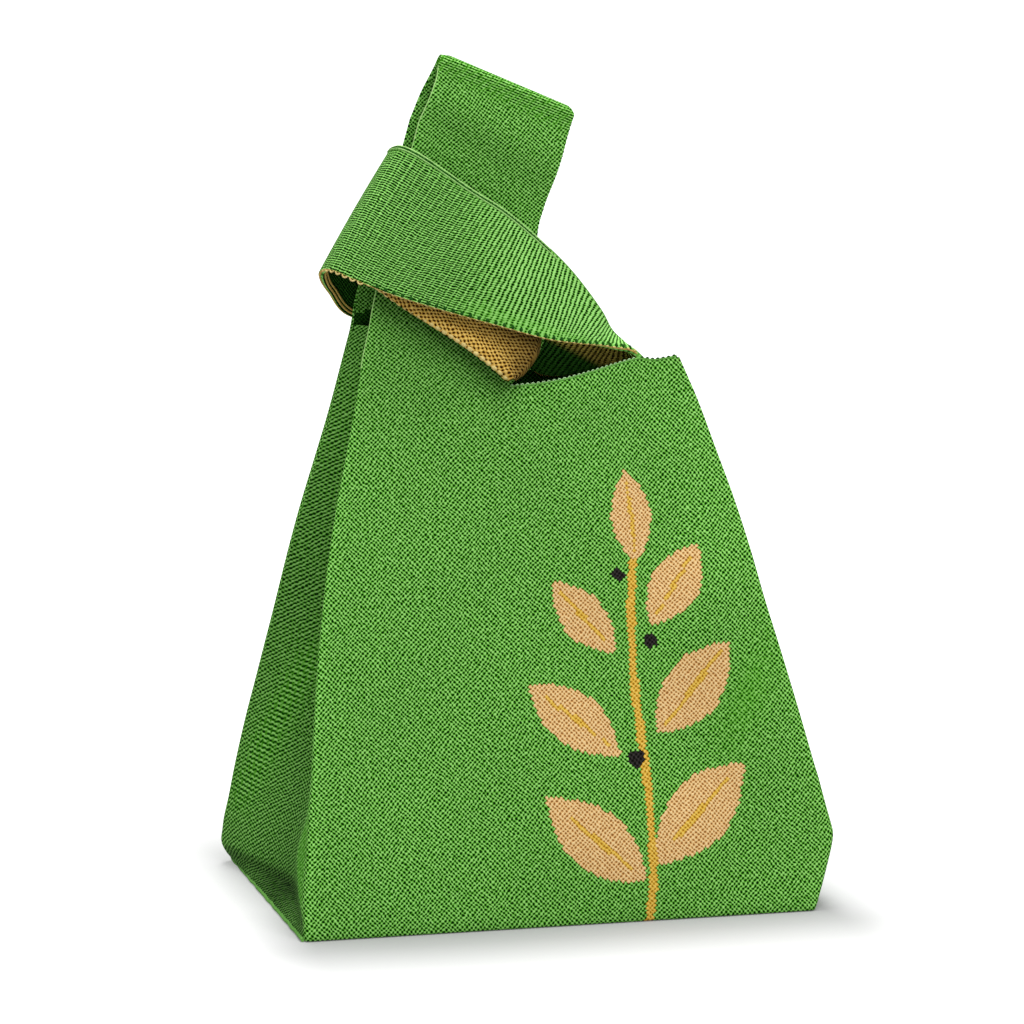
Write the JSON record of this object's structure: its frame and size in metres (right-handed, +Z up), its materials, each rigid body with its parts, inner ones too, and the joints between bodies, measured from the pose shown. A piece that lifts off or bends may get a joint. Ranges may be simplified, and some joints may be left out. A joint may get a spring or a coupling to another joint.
{
  "type": "knitted knot bag",
  "caption": "Knitted knot bag with a pleated gusset body and a carry strap that passes up through a wrap band to close it.",
  "frame": {"origin": "middle of the underside of the whole bag's box, on the surface it stands on", "axes": "+Z up along the height, +X to the bag's right as seen from the front, front towards -Y"},
  "size_m": [0.2192, 0.14, 0.34],
  "materials": {
    "panel_knit": "matte bird's-eye knit in green yarn",
    "gusset_knit": "matte knit in green yarn, finer and darker in the pleat",
    "hem_knit": "rolled knit hem in green yarn",
    "facing_knit": "matte gold knit, the reverse of the body",
    "edging_yarn": "pale green picot loops",
    "gold_yarn": "gold picot loops",
    "band_knit": "ribbed green knit, ribs across the band"
  },
  "bodies": {
    "bag_body": {"front_panel": "panel_knit", "back_panel": "panel_knit", "left_gusset": "gusset_knit", "right_gusset": "gusset_knit", "base_panel": "panel_knit", "base_hem_left": "hem_knit", "base_hem_right": "hem_knit", "front_strap_layer": "panel_knit", "back_strap_layer": "panel_knit", "front_neck_lapel": "facing_knit", "back_neck_lapel": "facing_knit", "front_neck_edging": "edging_yarn", "back_neck_edging": "edging_yarn", "band_root": "band_knit"},
    "wrap_band": {"band_front_run": "band_knit", "band_end_fold": "band_knit", "band_back_run": "band_knit", "band_upper_edging": "edging_yarn", "band_lower_edging": "gold_yarn"},
    "carry_tab": {"tab_front_layer": "panel_knit", "tab_back_layer": "panel_knit", "tab_top_fold": "panel_knit"}
  },
  "joints": [
    {"name": "band_slide", "type": "slide", "parent": "bag_body", "child": "wrap_band", "axis": [0.28, 0, 0.96], "range_m": [0, 0.008]},
    {"name": "tab_fold", "type": "hinge", "parent": "bag_body", "child": "carry_tab", "pos_m": [-0.04716, 0, 0.314], "axis": [0.8311, 0, -0.5562], "range_deg": [-45, 45]}
  ]
}
